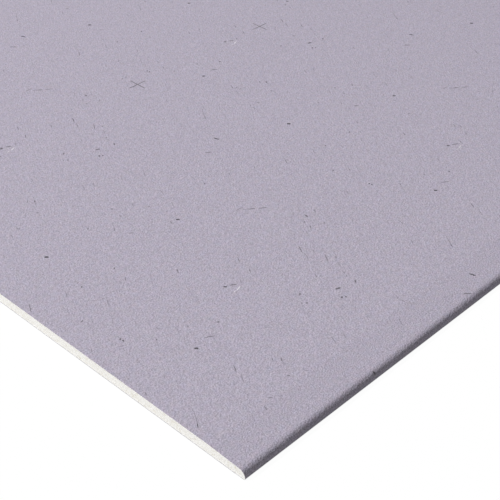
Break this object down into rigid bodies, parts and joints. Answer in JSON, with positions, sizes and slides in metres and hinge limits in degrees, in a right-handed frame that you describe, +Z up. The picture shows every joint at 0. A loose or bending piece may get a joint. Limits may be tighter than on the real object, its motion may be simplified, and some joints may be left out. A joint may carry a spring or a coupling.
{
  "type": "drywall sheet",
  "caption": "Flat drywall sheet: a gypsum core between a lilac face paper that wraps the half-round tapered long edges and a grey back paper, with square sawn ends.",
  "frame": {"origin": "middle of the sheet's back, which lies on the floor", "axes": "+X along the sheet's length, +Y across its width, +Z up out of the face"},
  "size_m": [2, 1.25, 0.0125],
  "materials": {
    "gypsum": "matt off-white gypsum, sawn",
    "face_paper": "matt lilac-grey recycled facing paper with dark fibre flecks",
    "back_paper": "matt grey recycled liner paper with a faint lilac tint"
  },
  "bodies": {
    "root": {"gypsum_core": "gypsum", "face_paper": "face_paper", "back_paper": "back_paper"}
  },
  "joints": []
}
